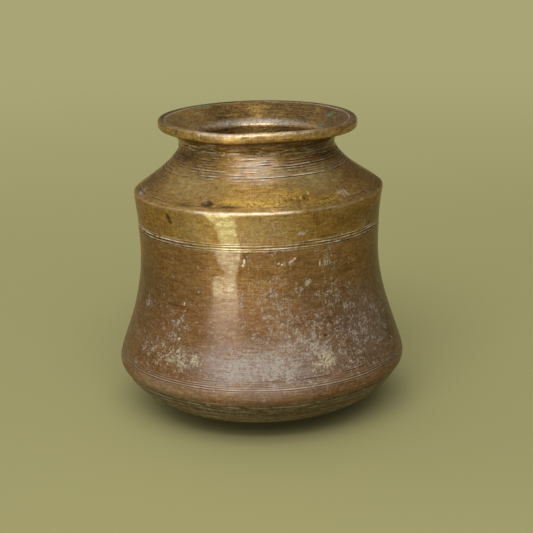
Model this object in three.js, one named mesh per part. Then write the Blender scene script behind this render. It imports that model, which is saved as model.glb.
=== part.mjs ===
// A lota: a South Asian water pot, cast in four pieces that are turned, lapped and brazed together.
// Millimetres, +Z up. The origin is the middle of the small flat spot that the pot stands on.
import * as THREE from 'three';

// Facets round the axis
const facets = 48;

// Base dish: a shallow dome that turns up to the lowest seam. Leans and slopes are angles from the
// horizontal, measured anticlockwise in the right-hand half of the section.
const footRadius = 14;
const domeRadius = 106;
const domeEdgeInset = 12.9;
const dishDepth = 20.3;
const dishLean = 64;
const dishWall = 2.4;
const dishSetback = 0.5;

// Body wall: widest just above the base, drawn in to a waist
const bellyRadius = 57.2;
const bellyRise = 2.4;
const bodyEdgeInset = 0.7;
const bodyEdgeLean = 68;
const waistRadius = 47.2;
const waistRise = 44;
const skirtRise = 9.3;
const skirtFlare = 0.3;
const skirtLean = 89;
const bodyWall = 2.2;

// Shoulder: an upright band, a rounded edge, then a hollow slope up to the neck
const shoulderEdgeRadius = 48.7;
const bandRise = 14.2;
const bandLean = 86;
const shoulderEdgeRound = 1;
const shoulderSlope = 150;
const shoulderRise = 17;
const neckRadius = 30.3;
const neckLean = 106;
const shoulderWall = 2.4;

// Rim: a collar on the neck, and a thick lip, dished on top, round the throat
const collarRise = 5.9;
const lipFlare = 8.4;
const lipThickness = 3.7;
const lipEdgeRound = 1.5;
const lipLand = 3;
const lipLandFall = 0.4;
const lipUndersideSlope = 12;
const lipDishSlope = 25;
const throatDrop = 6.6;
const throatRound = 1.4;
const throatLength = 2.2;
const throatSlope = 32;

// Brazed lap joints: how deep the laps are, their walls, the seams' heights and the slack round a lap
const lapDepth = 4.2;
const neckLapDepth = 3.2;
const lapSkin = 1.1;
const lapWall = 1.4;
const spigotWall = 2.7;
const lapSlack = 0.3;
const seamHeight = 0.3;
const neckSeamHeight = 0.8;
const neckBead = 0.6;

// Incised rings: their section, and the plain metal between two of a set
const grooveWidth = 0.5;
const grooveDepth = 0.35;
const bandRingCount = 2;
const bandRingGap = 0.5;
const bandRingLift = 0.6;
const baseRingCount = 3;
const baseRingGap = 0.3;
const baseRingLift = 3.1;
const slopeRingCount = 2;
const slopeRingGap = 0.4;
const slopeRingDrop = 6.9;
const edgeRingLift = 1.8;

// How hard each curve pulls at its two ends, as a share of the distance between them
const evenPull = [0.35, 0.35];
const turnUpPull = [0.17, 0.44];
const flankPull = [0.125, 0.45];
const slopePull = [0.08, 0.265];
const undersidePull = [0.3, 0.4];

// Straight steps along each curve
const steps = {
  dome: 5,
  turnUp: 6,
  roll: 3,
  flank: 9,
  skirt: 2,
  band: 3,
  corner: 3,
  slope: 8,
  underside: 5,
  lipEdge: 3,
  lipDish: 4,
  throat: 3,
};

// The smallest step in height or radius that still counts as one
const hair = 0.05;

// Heights that follow
const baseSeam = dishDepth;
const baseMouth = baseSeam + seamHeight;
const belly = baseMouth + bellyRise;
const waist = belly + waistRise;
const waistSeam = waist + skirtRise;
const waistMouth = waistSeam + seamHeight;
const shoulderEdge = waistMouth + bandRise;
const neckSeam = shoulderEdge + shoulderRise;
const collarFoot = neckSeam + neckSeamHeight;
const lipUnderside = collarFoot + collarRise;
const lipTop = lipUnderside + lipThickness;

// Base lap: the dish's upstand inside the foot of the body wall
const bodyEdgeRadius = bellyRadius - bodyEdgeInset;
const dishEdgeRadius = bodyEdgeRadius - dishSetback;
const baseSocket = bodyEdgeRadius - lapSkin;
const baseUpstand = baseSocket - lapSlack;
const baseLapTop = baseMouth + lapDepth;

// Waist lap: the body wall's upstand inside the foot of the shoulder
const waistSeamRadius = waistRadius + skirtFlare;
const waistSocket = waistSeamRadius - lapSkin;
const waistUpstand = waistSocket - lapSlack;
const waistLapTop = waistMouth + lapDepth;

// Neck lap: the rim's spigot inside the top of the shoulder
const neckSocket = neckRadius - lapSkin - lapSlack;
const spigotRadius = neckSocket - lapSlack;
const throatRadius = spigotRadius - spigotWall;
const spigotFoot = neckSeam - neckLapDepth;
const lipRadius = neckRadius + lipFlare;

function point(radius, height) {
  return new THREE.Vector2(radius, height);
}

function heading(degrees) {
  const turn = THREE.MathUtils.degToRad(degrees);
  return point(Math.cos(turn), Math.sin(turn));
}

// A smooth curve that leaves one point and reaches the next at the given angles
function bend(from, leaving, to, arriving, pull = evenPull) {
  const reach = from.distanceTo(to);
  const first = from.clone().addScaledVector(heading(leaving), reach * pull[0]);
  const second = to.clone().addScaledVector(heading(arriving), -reach * pull[1]);
  return new THREE.CubicBezierCurve(from, first, second, to);
}

function rounding(from, corner, to) {
  return new THREE.QuadraticBezierCurve(from, corner, to);
}

// The outside of the dome, from the flat spot to where it turns up
function domeLine(edgeRadius) {
  const centre = Math.sqrt(domeRadius ** 2 - footRadius ** 2);
  const line = [];
  for (let i = 0; i <= steps.dome; i++) {
    const radius = THREE.MathUtils.lerp(footRadius, edgeRadius, i / steps.dome);
    line.push(point(radius, centre - Math.sqrt(domeRadius ** 2 - radius ** 2)));
  }
  return line;
}

// Moves a line by the wall's thickness towards the inside of the pot, square to itself. At a corner
// tighter than the wall, the places that would fold back are left out.
function inset(line, wall) {
  const moved = [];
  line.forEach((place, i) => {
    const before = line[Math.max(i - 1, 0)];
    const after = line[Math.min(i + 1, line.length - 1)];
    const along = after.clone().sub(before).normalize();
    const target = point(place.x - along.y * wall, place.y + along.x * wall);
    if (i === 0 || target.clone().sub(moved.at(-1)).dot(along) > hair) moved.push(target);
  });
  return moved;
}

// Cuts V-shaped grooves, square to it, into a rising outside line at the given heights
function incise(line, heights) {
  const cuts = heights.map((height) => {
    const above = line.findIndex((place) => place.y >= height);
    const low = line[above - 1];
    const high = line[above];
    const along = high.clone().sub(low).normalize();
    const middle = low.clone().lerp(high, THREE.MathUtils.inverseLerp(low.y, high.y, height));
    const start = middle.clone().addScaledVector(along, -grooveWidth / 2);
    const bottom = point(middle.x - along.y * grooveDepth, middle.y + along.x * grooveDepth);
    const end = middle.clone().addScaledVector(along, grooveWidth / 2);
    return { height, places: [start, bottom, end] };
  });
  const clear = (place) => cuts.every(({ places: [start, , end] }) => (
    place.y < start.y - hair || place.y > end.y + hair
  ));
  const kept = line.filter(clear).map((place) => ({ height: place.y, places: [place] }));
  return [...kept, ...cuts].sort((one, other) => one.height - other.height).flatMap(({ places }) => places);
}

// Heights of a set of rings, from the lowest up
function ringSet(lowest, count, gap) {
  return Array.from({ length: count }, (_, i) => lowest + (grooveWidth + gap) * i);
}

// Turns a profile of radii and heights round the upright axis, closed on itself
function turned(name, profile, material) {
  const geometry = new THREE.LatheGeometry([...profile, profile[0]], facets);
  geometry.rotateX(Math.PI / 2);
  const mesh = new THREE.Mesh(geometry, material);
  mesh.name = name;
  return mesh;
}

// A flat ring of braze that fills a seam. A bead stands out of it where there is one.
function brazeRing(name, inner, outer, low, high, bead = 0) {
  const swell = bead > 0 ? [point(outer + bead, (low + high) / 2)] : [];
  const outside = [point(outer, low), ...swell, point(outer, high)];
  return turned(name, [point(inner, low), ...outside, point(inner, high)], spelter);
}

const yellowBrass = new THREE.MeshStandardMaterial({ color: 0x8f7232, roughness: 0.42, metalness: 1 });
const rimBrass = new THREE.MeshStandardMaterial({ color: 0x86682e, roughness: 0.38, metalness: 1 });
const redBrass = new THREE.MeshStandardMaterial({ color: 0x6b4a30, roughness: 0.5, metalness: 1 });
const darkBrass = new THREE.MeshStandardMaterial({ color: 0x4a3a22, roughness: 0.5, metalness: 1 });
const spelter = new THREE.MeshStandardMaterial({ color: 0x9c8a58, roughness: 0.6, metalness: 1 });

function baseDish() {
  const domeEdge = bellyRadius - domeEdgeInset;
  const dome = domeLine(domeEdge);
  const rise = THREE.MathUtils.radToDeg(Math.asin(domeEdge / domeRadius));
  const edge = point(dishEdgeRadius, baseSeam);
  const turnUp = bend(dome.at(-1), rise, edge, dishLean, turnUpPull).getPoints(steps.turnUp).slice(1);
  const outside = [point(0, 0), ...dome, ...turnUp];
  const upstandInside = baseUpstand - lapWall;
  const inside = inset(outside, dishWall).filter((place) => (
    place.x < upstandInside - hair && place.y < baseLapTop
  ));
  return turned('base_dish', [
    ...outside,
    point(baseUpstand, baseSeam),
    point(baseUpstand, baseLapTop),
    point(upstandInside, baseLapTop),
    ...inside.reverse(),
  ], darkBrass);
}

function bodyWallPiece() {
  const foot = point(bodyEdgeRadius, baseMouth);
  const widest = point(bellyRadius, belly);
  const narrowest = point(waistRadius, waist);
  const top = point(waistSeamRadius, waistSeam);
  const outside = [
    ...bend(foot, bodyEdgeLean, widest, 90).getPoints(steps.roll),
    ...bend(widest, 90, narrowest, 90, flankPull).getPoints(steps.flank).slice(1),
    ...bend(narrowest, 90, top, skirtLean).getPoints(steps.skirt).slice(1),
  ];
  const upstandInside = waistUpstand - lapWall;
  const inside = inset(outside, bodyWall).filter((place) => (
    place.y > baseLapTop + lapSlack + hair && place.y < waistSeam - hair
  ));
  return turned('body_wall', [
    ...incise(outside, ringSet(belly + baseRingLift, baseRingCount, baseRingGap)),
    point(waistUpstand, waistSeam),
    point(waistUpstand, waistLapTop),
    point(upstandInside, waistLapTop),
    point(upstandInside, waistSeam),
    ...inside.reverse(),
    point(baseSocket, baseLapTop + lapSlack),
    point(baseSocket, baseMouth),
  ], redBrass);
}

function shoulderPiece() {
  const foot = point(waistSeamRadius, waistMouth);
  const corner = point(shoulderEdgeRadius, shoulderEdge);
  const below = corner.clone().addScaledVector(heading(bandLean), -shoulderEdgeRound);
  const above = corner.clone().addScaledVector(heading(shoulderSlope), shoulderEdgeRound);
  const neck = point(neckRadius, neckSeam);
  const outside = [
    ...bend(foot, skirtLean, below, bandLean).getPoints(steps.band),
    ...rounding(below, corner, above).getPoints(steps.corner).slice(1),
    ...bend(above, shoulderSlope, neck, neckLean, slopePull).getPoints(steps.slope).slice(1),
  ];
  const socketFoot = spigotFoot - lapSlack;
  const inside = inset(outside, shoulderWall).filter((place) => (
    place.x > neckSocket + hair && place.y > waistLapTop + lapSlack + hair && place.y < socketFoot - hair
  ));
  return turned('shoulder', [
    ...incise(outside, [
      ...ringSet(waistMouth + bandRingLift, bandRingCount, bandRingGap),
      shoulderEdge + edgeRingLift,
      ...ringSet(neckSeam - slopeRingDrop, slopeRingCount, slopeRingGap),
    ]),
    point(neckSocket, neckSeam),
    point(neckSocket, socketFoot),
    ...inside.reverse(),
    point(waistSocket, waistLapTop + lapSlack),
    point(waistSocket, waistMouth),
  ], yellowBrass);
}

function rimPiece() {
  const round = Math.min(lipEdgeRound, lipThickness / 2 - hair);
  const edgeFoot = point(lipRadius - round, lipUnderside);
  const edgeLow = point(lipRadius, lipUnderside + round);
  const edgeHigh = point(lipRadius, lipTop - round);
  const edgeTop = point(lipRadius - round, lipTop);
  const land = point(lipRadius - lipLand, lipTop - lipLandFall);
  const throatTop = point(throatRadius + throatRound, lipTop - throatDrop);
  const throatMiddle = point(throatRadius, throatTop.y - throatRound / 2);
  const throatEnd = point(throatRadius, throatTop.y - throatLength);
  const collarTop = point(neckRadius, collarFoot);
  return turned('rim', [
    point(throatRadius, spigotFoot),
    point(spigotRadius, spigotFoot),
    point(spigotRadius, collarFoot),
    ...bend(collarTop, 90, edgeFoot, lipUndersideSlope, undersidePull).getPoints(steps.underside),
    ...rounding(edgeFoot, point(lipRadius, lipUnderside), edgeLow).getPoints(steps.lipEdge).slice(1),
    ...rounding(edgeHigh, point(lipRadius, lipTop), edgeTop).getPoints(steps.lipEdge),
    ...bend(land, 180 + lipDishSlope, throatTop, 180 + throatSlope).getPoints(steps.lipDish),
    ...rounding(throatTop, throatMiddle, throatEnd).getPoints(steps.throat).slice(1),
  ], rimBrass);
}

const lota = new THREE.Group();
lota.add(
  baseDish(),
  brazeRing('base_braze', baseSocket, dishEdgeRadius, baseSeam, baseMouth),
  bodyWallPiece(),
  brazeRing('waist_braze', waistSocket, waistSeamRadius, waistSeam, waistMouth),
  shoulderPiece(),
  brazeRing('neck_braze', neckSocket, neckRadius, neckSeam, collarFoot, neckBead),
  rimPiece(),
);

export default lota;
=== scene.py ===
# A vintage brass lota, a South Asian water pot: four castings, turned, lapped and brazed together.
# Every piece is turned as a fine mesh on the solid that it stands for, then worn, dented and stained, with
# highlights and shade painted into its colour in places.
import math
from collections import namedtuple

import bpy
import numpy as np
from mathutils import Matrix, Vector


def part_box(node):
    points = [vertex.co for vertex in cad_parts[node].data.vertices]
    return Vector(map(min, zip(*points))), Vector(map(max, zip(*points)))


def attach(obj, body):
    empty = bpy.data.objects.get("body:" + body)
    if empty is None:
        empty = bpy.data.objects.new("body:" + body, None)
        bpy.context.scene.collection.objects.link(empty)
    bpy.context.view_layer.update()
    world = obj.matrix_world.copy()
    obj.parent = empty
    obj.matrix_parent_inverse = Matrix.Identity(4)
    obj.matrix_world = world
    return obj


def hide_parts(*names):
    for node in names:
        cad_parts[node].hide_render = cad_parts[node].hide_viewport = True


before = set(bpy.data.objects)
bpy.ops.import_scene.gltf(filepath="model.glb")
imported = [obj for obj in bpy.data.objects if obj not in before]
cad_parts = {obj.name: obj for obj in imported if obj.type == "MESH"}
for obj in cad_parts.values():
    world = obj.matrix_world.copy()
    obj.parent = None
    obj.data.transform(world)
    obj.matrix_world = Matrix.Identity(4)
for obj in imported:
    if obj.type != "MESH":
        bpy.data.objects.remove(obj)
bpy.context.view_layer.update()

MM = 0.001

# Columns round the axis, and the spacing of rows along the outside and the inside, in millimetres
COLUMNS = 480
OUTSIDE_STEP = 0.42
INSIDE_STEP = 2.4
GROOVE_ROWS = (-0.95, -0.6, -0.25, 0.0, 0.25, 0.5, 0.75, 1.1)
SHARP_ANGLE = 50.0

# Room in the UV map: round each strip, and for hidden rows as a share of what rows in sight get
UV_MARGIN = 0.01
HIDDEN_SHARE = 0.3

# Where the lamps point, in millimetres above the floor
LAMP_TARGET = 60.0


# Sizes of the frame, in millimetres

ACROSS, UP = 0, 2


def span(node, axis):
    """Lowest and highest coordinate of a CAD node along an axis, in millimetres."""
    low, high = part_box(node)
    return low[axis] / MM, high[axis] / MM


BASE_SEAM, BASE_MOUTH = span("base_braze", UP)
WAIST_SEAM, WAIST_MOUTH = span("waist_braze", UP)
NECK_SEAM, COLLAR_FOOT = span("neck_braze", UP)
BASE_LAP_TOP = span("base_dish", UP)[1]
WAIST_LAP_TOP = span("body_wall", UP)[1]
SPIGOT_FOOT, LIP_TOP = span("rim", UP)
DISH_EDGE = span("base_dish", ACROSS)[1]
BELLY_RADIUS = span("body_wall", ACROSS)[1]
WAIST_SEAM_RADIUS = span("waist_braze", ACROSS)[1]
SHOULDER_RADIUS = span("shoulder", ACROSS)[1] + 0.1
LIP_RADIUS = span("rim", ACROSS)[1]

FOOT_RADIUS = 14.0
DOME_RADIUS = 106.0
DOME_EDGE = BELLY_RADIUS - 12.9
BODY_EDGE = BELLY_RADIUS - 0.7
BELLY_HEIGHT = BASE_MOUTH + 2.4
WAIST_RADIUS = WAIST_SEAM_RADIUS - 0.3
WAIST_HEIGHT = WAIST_SEAM - 9.3
SHOULDER_HEIGHT = WAIST_MOUTH + 14.2
NECK_RADIUS = 30.3
LIP_UNDERSIDE = LIP_TOP - 3.7
LAP_SKIN = 1.1
LAP_SLACK = 0.3
LAP_WALL = 1.4
DISH_WALL = 2.4
BODY_WALL = 2.2
SHOULDER_WALL = 2.4
NECK_SOCKET = NECK_RADIUS - LAP_SKIN - LAP_SLACK
SPIGOT_RADIUS = NECK_SOCKET - LAP_SLACK
THROAT_RADIUS = SPIGOT_RADIUS - 2.7


# Camera: where the photograph was taken from, found from the ellipses of the rings and the outline.
# The distance and the point's height are in pixels of the photograph, of which SCALE is the size.

SCALE = 0.3974 * MM
AXIS_POINT_HEIGHT = 192.0
AXIS_PIXEL = (258.63, 220.66)
FRAME_PIXELS = 533
CAMERA_DISTANCE = 1250.0
CAMERA_ELEVATION = 14.0
CAMERA_ROLL = 1.46
SENSOR = 36.0


def add_camera():
    elevation = math.radians(CAMERA_ELEVATION)
    roll = math.radians(CAMERA_ROLL)
    look = Vector((0, math.cos(elevation), -math.sin(elevation)))
    right = Vector((1, 0, 0))
    up = right.cross(look)
    off_x = AXIS_PIXEL[0] - FRAME_PIXELS / 2
    off_y = AXIS_PIXEL[1] - FRAME_PIXELS / 2
    across = off_x * math.cos(roll) - off_y * math.sin(roll)
    down = off_x * math.sin(roll) + off_y * math.cos(roll)
    forward = (look * CAMERA_DISTANCE - right * across + up * down).normalized()
    right = forward.cross(up).normalized()
    up = right.cross(forward)
    turned_right = math.cos(roll) * right - math.sin(roll) * up
    turned_up = math.sin(roll) * right + math.cos(roll) * up
    place = -look * CAMERA_DISTANCE * SCALE + Vector((0, 0, AXIS_POINT_HEIGHT * SCALE))
    data = bpy.data.cameras.new("camera")
    data.sensor_width = SENSOR
    data.lens = CAMERA_DISTANCE / FRAME_PIXELS * SENSOR
    data.clip_start = 0.01
    camera = bpy.data.objects.new("camera", data)
    axes = Matrix((turned_right, turned_up, -forward)).transposed()
    camera.matrix_world = Matrix.Translation(place) @ axes.to_4x4()
    bpy.context.scene.collection.objects.link(camera)
    bpy.context.scene.camera = camera


# Smooth seeded noise in space

class Noise:
    """Smooth noise from -1 to 1 at points in millimetres. A table of random values repeats far away."""

    SIZE = 64

    def __init__(self, seed):
        self.table = np.random.default_rng(seed).uniform(-1, 1, (self.SIZE,) * 3)

    def plain(self, points):
        cell = np.floor(points).astype(int)
        part = points - cell
        part = part * part * (3 - 2 * part)
        total = 0
        for corner in np.ndindex(2, 2, 2):
            index = (cell + corner) % self.SIZE
            weight = np.prod(np.where(corner, part, 1 - part), axis=-1)
            total = total + weight * self.table[index[..., 0], index[..., 1], index[..., 2]]
        return total

    def __call__(self, points, size, layers=1):
        """size is the width of a bump, one number or one for each of x, y and z."""
        total, strength, cells = 0, 1.0, points / np.asarray(size, float)
        for layer in range(layers):
            total = total + strength * self.plain(cells + 17.3 * layer)
            strength *= 0.5
            cells = cells * 2.03
        return total


# Outlines, as lists of (radius, height) in millimetres

def toward(degrees):
    return np.array([math.cos(math.radians(degrees)), math.sin(math.radians(degrees))])


def bend(start, leaving, end, arriving, pull=(0.35, 0.35), steps=60):
    """A smooth curve that leaves start and reaches end at the given angles from the horizontal."""
    start, end = np.array(start, float), np.array(end, float)
    reach = np.linalg.norm(end - start)
    first = start + reach * pull[0] * toward(leaving)
    second = end - reach * pull[1] * toward(arriving)
    t = np.linspace(0, 1, steps + 1)[:, None]
    return (1 - t) ** 3 * start + 3 * t * (1 - t) ** 2 * first + 3 * t * t * (1 - t) * second + t ** 3 * end


def rounding(start, corner, end, steps=12):
    start, corner, end = (np.array(p, float) for p in (start, corner, end))
    t = np.linspace(0, 1, steps + 1)[:, None]
    return (1 - t) ** 2 * start + 2 * t * (1 - t) * corner + t * t * end


def gaps(line):
    return np.linalg.norm(np.diff(line, axis=0), axis=1)


def joined(*lines):
    """One line from several, without doubled places."""
    line = np.vstack([np.atleast_2d(np.array(part, float)) for part in lines])
    return line[np.concatenate([[True], gaps(line) > 1e-4])]


def lengths(line):
    return np.concatenate([[0], np.cumsum(gaps(line))])


def sideways(line):
    """Unit normals of a line: to the right of its direction, which is outwards on a rising line."""
    along = np.gradient(line, axis=0)
    along /= np.linalg.norm(along, axis=1, keepdims=True) + 1e-12
    return np.stack([along[:, 1], -along[:, 0]], 1)


def inset(line, wall):
    """The line moved inwards by the wall, without the places that fold back at a tight corner."""
    moved, along = line - sideways(line) * wall, np.gradient(line, axis=0)
    kept = [0]
    for i in range(1, len(line)):
        if np.dot(moved[i] - moved[kept[-1]], along[i]) > 0.002:
            kept.append(i)
    return moved[kept]


def place_at(line, height=None, radius=None):
    """Distance along a line at which it rises past a height, or, beyond its top, falls in past a radius."""
    total = lengths(line)
    if radius is None:
        top = int(np.argmax(line[:, 1])) + 1
        return float(np.interp(height, line[:top, 1], total[:top]))
    top = int(np.argmax(line[:, 1]))
    return float(np.interp(-radius, -line[top:, 0], total[top:]))


def spaced(line, step, extra=()):
    """The line sampled about every step, with rows added at the distances in extra."""
    total = lengths(line)
    rows = list(np.linspace(0, total[-1], max(2, round(total[-1] / step) + 1)))
    ends = rows[0], rows[-1]
    clear = [row for row in rows if row in ends or all(abs(row - other) > step * 0.4 for other in extra)]
    rows = np.array(sorted(set(clear) | {row for row in extra if 0 < row < total[-1]}))
    return np.stack([np.interp(rows, total, line[:, k]) for k in (0, 1)], 1), rows


# Grooves and marks

# An incised ring: a V with a burr on either side, which wanders a little and wears away in places
Groove = namedtuple("Groove", "height width depth burr wander wear radius", defaults=(0.1, 0.5, None))


def spot(surface, angle, height, across, tall, strength=1, edge=0.9, lean=0, radius=None):
    turn = (surface.angle - math.radians(angle) + math.pi) % (2 * math.pi) - math.pi
    right, up = turn * surface.radius, surface.height - height
    if radius is not None:
        up = np.hypot(up, surface.radius - radius)
    lean = math.radians(lean)
    along = (right * math.cos(lean) + up * math.sin(lean)) / across
    side = (-right * math.sin(lean) + up * math.cos(lean)) / tall
    return strength * ramp(np.hypot(along, side), 1, 1 - edge)


def cover(rows, surface):
    """How strongly soft spots cover the outside. A row holds a spot's angle from the front in degrees, its
    height, width and tallness in millimetres, its strength, the share of it that fades, its lean in degrees
    and, on the rim, where two sides lie at one height, its radius."""
    total = np.zeros_like(surface.height)
    for row in rows:
        total = np.maximum(total, spot(surface, *row))
    return total


def ridge(values, middle, reach):
    """1 at the middle, falling softly to 0 beyond the reach."""
    return np.exp(-((values - middle) / reach) ** 2)


def ramp(values, start, end):
    """0 before the start, 1 past the end and even between them, in either direction."""
    return np.clip((values - start) / (end - start), 0, 1)


def standing(radius, angle, height):
    """Points in space, from a radius, an angle from the front and a height."""
    return np.stack([radius * np.sin(angle), -radius * np.cos(angle), height], -1)


class Surface:
    """The outside of a piece as grids over its rows and columns."""

    def __init__(self, rows, distances, angles):
        self.distance = distances[:, None] + 0 * angles[None, :]
        self.radius = rows[:, :1] + 0 * angles[None, :]
        self.height = rows[:, 1:] + 0 * angles[None, :]
        self.angle = angles[None, :] + 0 * self.radius
        self.turn = np.degrees(self.angle)
        self.points = standing(self.radius, self.angle, self.height)


# Turned pieces

class Piece:
    """Collects the closed section of a piece as stretches of rows, then turns it into a mesh."""

    def __init__(self, name):
        self.name = name
        self.angles = np.arange(COLUMNS) * 2 * math.pi / COLUMNS - math.pi
        self.rows, self.shares = [], []
        self.layers = {}

    def hidden(self, line, step=None):
        """A stretch in a lap or inside the pot."""
        line = np.atleast_2d(np.array(line, float))
        if step:
            line = spaced(line, step)[0]
        self.rows.append(line)
        self.shares.append(HIDDEN_SHARE)

    def shown(self, line, grooves=(), step=OUTSIDE_STEP):
        """The outside stretch, which takes grooves and marks."""
        self.grooves = [(groove, place_at(line, groove.height, groove.radius)) for groove in grooves]
        extra = [middle + row * groove.width for groove, middle in self.grooves for row in GROOVE_ROWS]
        rows, distances = spaced(line, step, extra)
        self.outside = sum(len(part) for part in self.rows), len(rows)
        self.surface = Surface(rows, distances, self.angles)
        self.rows.append(rows)
        self.shares.append(1)
        return self.surface

    def cut_grooves(self, noise):
        """Depth of the grooves and burrs, and where the grooves' bottoms and burrs are."""
        surface = self.surface
        depth = np.zeros_like(surface.height)
        bottom, burr = depth.copy(), depth.copy()
        for number, (groove, middle) in enumerate(self.grooves):
            round_the_pot = surface.points.copy()
            round_the_pot[..., 2] = number * 31.0
            shift = groove.wander * noise(round_the_pot, 14.0, 2)
            worn = noise(round_the_pot + 7, 5.0, 3) + 0.8 * noise(round_the_pot + 3, 30.0)
            keep = np.clip(1 - groove.wear * (0.6 + worn), 0, 1.2)
            off = (surface.distance - middle - shift) / (groove.width / 2)
            valley = np.clip(1 - np.abs(off), 0, 1)
            edge = ridge(off, 1.5, 0.75) + 0.35 * ridge(off, -1.4, 0.5)
            depth += keep * (groove.burr * edge - groove.depth * valley)
            bottom = np.maximum(bottom, keep * np.clip(valley * 1.6, 0, 1))
            burr = np.maximum(burr, keep * edge * min(1.0, groove.burr / 0.06))
        self.layers.update(groove=bottom, burr=burr)
        return depth

    def paint(self):
        """How much of each kind of wear and stain, and of painted shade and painted highlight, lies on the
        outside, for the materials.
        """
        surface = self.surface
        kinds = {"lime": LIME, "veil_and_sheen": VEIL_AND_SHEEN, "tarnish_and_shade": TARNISH_AND_SHADE, "cream": CREAM, "dark": DARK_STAINS,
                 "green": VERDIGRIS, "specks": SPECKS, "flecks": FLECKS}
        for kind, rows in kinds.items():
            self.layers[kind] = np.maximum(cover(rows, surface), self.layers.get(kind, 0))
        chips = 0.55 + 0.45 * STAINS(surface.points, (5, 5, 1.2), 3)
        edges = ridge(surface.height, SHOULDER_HEIGHT, 0.6) + 0.8 * ridge(surface.height, BASE_SEAM, 0.5)
        lip_edge = (surface.radius > LIP_RADIUS - 3.4) & (surface.height > LIP_TOP - 2)
        edges = edges + lip_edge * ridge(surface.radius, LIP_RADIUS - 0.7, 0.8)
        worn = np.clip(edges * chips, 0, 1) + self.layers.get("worn", 0)
        self.layers["worn"] = np.clip(worn, 0, 1)
        painted_highlight = np.maximum(highlight_streak(surface), self.layers.get("painted_highlight", 0))
        self.layers["painted_highlight"] = np.clip(painted_highlight, 0, 1)

    def build(self, node, lift, warp=None, caps=False):
        """lift moves the outside along its normal, warp(points) bends the finished piece, and caps close
        it where its first and last rows meet the axis."""
        self.paint()
        rows = np.vstack(self.rows)
        share = np.concatenate([np.full(len(part), s) for part, s in zip(self.rows, self.shares)])
        radius = np.repeat(rows[:, :1], COLUMNS, 1)
        height = np.repeat(rows[:, 1:], COLUMNS, 1)
        start, count = self.outside
        shown = slice(start, start + count)
        fade = np.minimum(np.arange(count), np.arange(count)[::-1])
        normal = sideways(rows[shown])
        move = lift * ramp(fade, 0, 2)[:, None]
        radius[shown] += normal[:, :1] * move
        height[shown] += normal[:, 1:] * move
        angle = np.repeat(self.angles[None, :], len(rows), 0)
        points = standing(radius, angle, height)
        if warp is not None:
            points = warp(points)
        ends = [points[0].mean(0), points[-1].mean(0)] if caps else []
        flat = np.vstack([points.reshape(-1, 3), *ends]) * MM
        mesh = bpy.data.meshes.new(self.name)
        mesh.from_pydata(flat.tolist(), [], self.faces(len(rows), caps))
        mesh.polygons.foreach_set("use_smooth", np.ones(len(mesh.polygons), bool))
        mesh.set_sharp_from_angle(angle=math.radians(SHARP_ANGLE))
        self.unwrap(mesh, rows, share)
        for layer, values in self.layers.items():
            full = np.zeros((len(rows), COLUMNS))
            full[shown] = values
            full = np.append(full.ravel(), [0.0] * len(ends))
            attribute = mesh.attributes.new(layer, "FLOAT", "POINT")
            attribute.data.foreach_set("value", full.astype(np.float32))
        mesh.validate()
        piece = bpy.data.objects.new(self.name, mesh)
        bpy.context.scene.collection.objects.link(piece)
        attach(piece, "root")
        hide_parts(node)
        return piece

    def faces(self, count, caps):
        index = np.arange(count * COLUMNS).reshape(count, COLUMNS)
        right = np.roll(index, -1, 1)
        if not caps:
            index = np.vstack([index, index[:1]])
            right = np.vstack([right, right[:1]])
        quads = np.stack([index[:-1], right[:-1], right[1:], index[1:]], -1).reshape(-1, 4).tolist()
        if caps:
            low, high = count * COLUMNS, count * COLUMNS + 1
            quads += [[low, b, a] for a, b in zip(index[0], right[0])]
            quads += [[high, a, b] for a, b in zip(index[-1], right[-1])]
        return quads

    def unwrap(self, mesh, rows, share):
        """A UV map in two strips, each half the way round, with less room for what is hidden."""
        steps = gaps(np.vstack([rows, rows[:1]])) * share
        along = np.concatenate([[0], np.cumsum(steps)]) / steps.sum()
        loops = np.zeros(len(mesh.loops), int)
        mesh.loops.foreach_get("vertex_index", loops)
        sizes = np.zeros(len(mesh.polygons), int)
        mesh.polygons.foreach_get("loop_total", sizes)
        owner = np.repeat(np.arange(len(sizes)), sizes)
        row, column = loops // COLUMNS, loops % COLUMNS
        face_row, face_column = owner // COLUMNS, owner % COLUMNS
        column = np.where((column == 0) & (face_column == COLUMNS - 1), COLUMNS, column)
        last = (row == 0) & (face_row == len(rows) - 1)
        v = along[np.where(last, len(rows), np.minimum(row, len(rows)))]
        half = COLUMNS // 2
        strip = face_column // half
        u = (column - strip * half) / half
        pole = row >= len(rows)
        u = np.where(pole, (face_column % half + 0.5) / half, u)
        v = np.where(pole, np.where(loops == len(rows) * COLUMNS, 0.0, 1.0), v)
        u = UV_MARGIN + u * (1 - 2 * UV_MARGIN)
        v = strip * 0.5 + UV_MARGIN / 2 + v * (0.5 - UV_MARGIN)
        coordinates = np.stack([u, v], 1)
        layer = mesh.uv_layers.new(name="OFBake")
        layer.data.foreach_set("uv", coordinates.ravel().astype(np.float32))


# Forms and wear that go over more than one piece

FORM = Noise(11)
GRAIN = Noise(12)
RINGS = Noise(13)
STAINS = Noise(14)

# Tables of spots, with rows as cover() reads them

# Bulges and hollows, in millimetres
SWELLS = (
    (98, 92.6, 26, 7, 0.7, 0.95), (-62, 93.5, 18, 7, -0.4, 0.95),
    (-118, 93, 20, 8, 0.3, 0.95), (40, 86, 18, 9, -0.2, 0.95),
    (-90, 42, 40, 20, -0.35, 0.95),
)

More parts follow.
